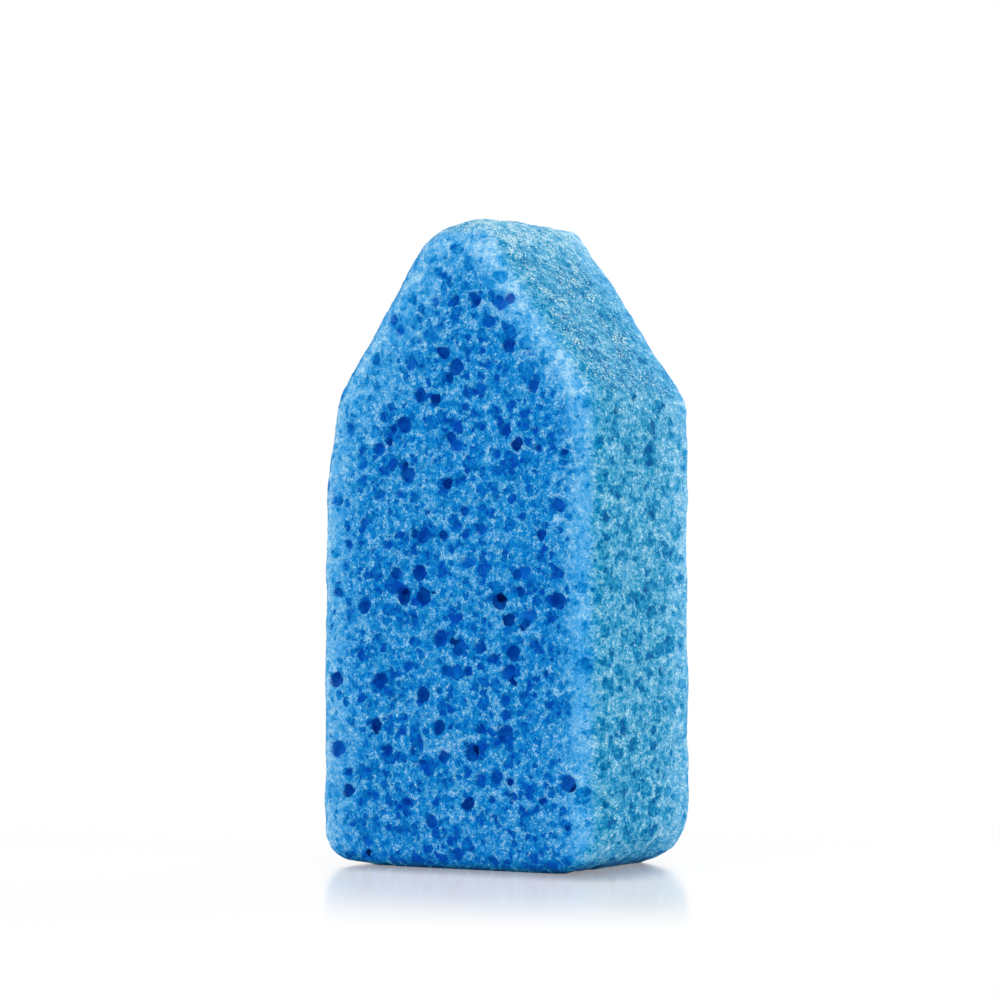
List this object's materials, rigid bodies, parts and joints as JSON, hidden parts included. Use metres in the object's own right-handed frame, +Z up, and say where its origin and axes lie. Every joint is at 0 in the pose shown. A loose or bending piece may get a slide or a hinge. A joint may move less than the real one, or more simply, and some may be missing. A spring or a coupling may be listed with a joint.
{
  "type": "body buffer",
  "caption": "Coarse blue foam bath sponge block with a house-shaped outline, soft edges and open cells on its faces.",
  "frame": {"origin": "on the floor under the middle of the block, at the centre of its base", "axes": "+Z up along the block's height, -Y out of the front face, +X to the front face's right"},
  "size_m": [0.062, 0.043, 0.126],
  "materials": {
    "foam": "matt open-cell foam, soaked in soap and dried"
  },
  "bodies": {
    "root": {"sponge_block": "foam"}
  },
  "joints": []
}
